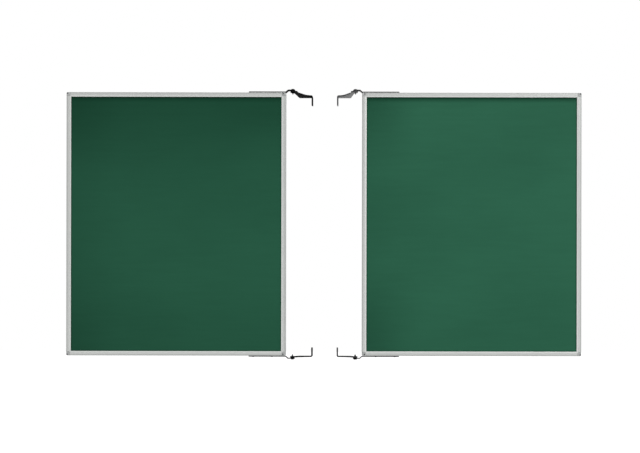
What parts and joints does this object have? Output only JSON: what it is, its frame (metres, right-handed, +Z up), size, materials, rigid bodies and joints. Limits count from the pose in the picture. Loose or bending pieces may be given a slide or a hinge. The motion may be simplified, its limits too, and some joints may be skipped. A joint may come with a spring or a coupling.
{
  "type": "pair of folding chalkboard wings",
  "caption": "Framed green writing boards that open flat and fold forward on cranked steel hinges, whose carrier arms screw to the side edges of a centre board.",
  "frame": {"origin": "midway between the two wings, at mid height, in the plane through both hinge axes, which is the middle plane of both boards and holds the centroid", "axes": "+X from the left wing to the right as the reader sees them, +Y away from the reader, +Z up; both wings open flat"},
  "size_m": [2.346, 0.1108, 1.2342],
  "materials": {
    "enamel": "matt green vitreous enamel on steel sheet",
    "core": "paper honeycomb and board",
    "frame": "satin natural anodised extrusion",
    "corner": "moulded grey plastic",
    "corner_screw": "dark plated steel",
    "hinge_steel": "dark powder coated steel",
    "fastener": "black zinc plated steel",
    "bush": "black nylon"
  },
  "bodies": {
    "carriers": {"left_top_carrier": "hinge_steel", "left_top_pivot_bolt": "fastener", "left_top_pivot_nut": "fastener", "left_bottom_carrier": "hinge_steel", "left_bottom_pivot_bolt": "fastener", "left_bottom_pivot_nut": "fastener", "right_top_carrier": "hinge_steel", "right_top_pivot_bolt": "fastener", "right_top_pivot_nut": "fastener", "right_bottom_carrier": "hinge_steel", "right_bottom_pivot_bolt": "fastener", "right_bottom_pivot_nut": "fastener"},
    "left_wing": {"left_board_core": "core", "left_front_sheet": "enamel", "left_back_sheet": "enamel", "left_hinge_stile": "frame", "left_outer_stile": "frame", "left_top_rail": "frame", "left_top_hinge_corner": "corner", "left_top_outer_corner": "corner", "left_top_hinge_corner_screw": "corner_screw", "left_top_outer_corner_screw": "corner_screw", "left_top_strap": "hinge_steel", "left_top_strap_screw_1": "fastener", "left_top_strap_screw_2": "fastener", "left_top_bush": "bush", "left_bottom_rail": "frame", "left_bottom_hinge_corner": "corner", "left_bottom_outer_corner": "corner", "left_bottom_hinge_corner_screw": "corner_screw", "left_bottom_outer_corner_screw": "corner_screw", "left_bottom_strap": "hinge_steel", "left_bottom_strap_screw_1": "fastener", "left_bottom_strap_screw_2": "fastener", "left_bottom_bush": "bush"},
    "right_wing": {"right_board_core": "core", "right_front_sheet": "enamel", "right_back_sheet": "enamel", "right_hinge_stile": "frame", "right_outer_stile": "frame", "right_top_rail": "frame", "right_top_hinge_corner": "corner", "right_top_outer_corner": "corner", "right_top_hinge_corner_screw": "corner_screw", "right_top_outer_corner_screw": "corner_screw", "right_top_strap": "hinge_steel", "right_top_strap_screw_1": "fastener", "right_top_strap_screw_2": "fastener", "right_top_bush": "bush", "right_bottom_rail": "frame", "right_bottom_hinge_corner": "corner", "right_bottom_outer_corner": "corner", "right_bottom_hinge_corner_screw": "corner_screw", "right_bottom_outer_corner_screw": "corner_screw", "right_bottom_strap": "hinge_steel", "right_bottom_strap_screw_1": "fastener", "right_bottom_strap_screw_2": "fastener", "right_bottom_bush": "bush"}
  },
  "joints": [
    {"name": "left_wing_fold", "type": "hinge", "parent": "carriers", "child": "left_wing", "pos_m": [-0.143, 0, 0], "axis": [0, 0, 1], "range_deg": [0, 95]},
    {"name": "right_wing_fold", "type": "hinge", "parent": "carriers", "child": "right_wing", "pos_m": [0.143, 0, 0], "axis": [0, 0, -1], "range_deg": [0, 95]}
  ]
}
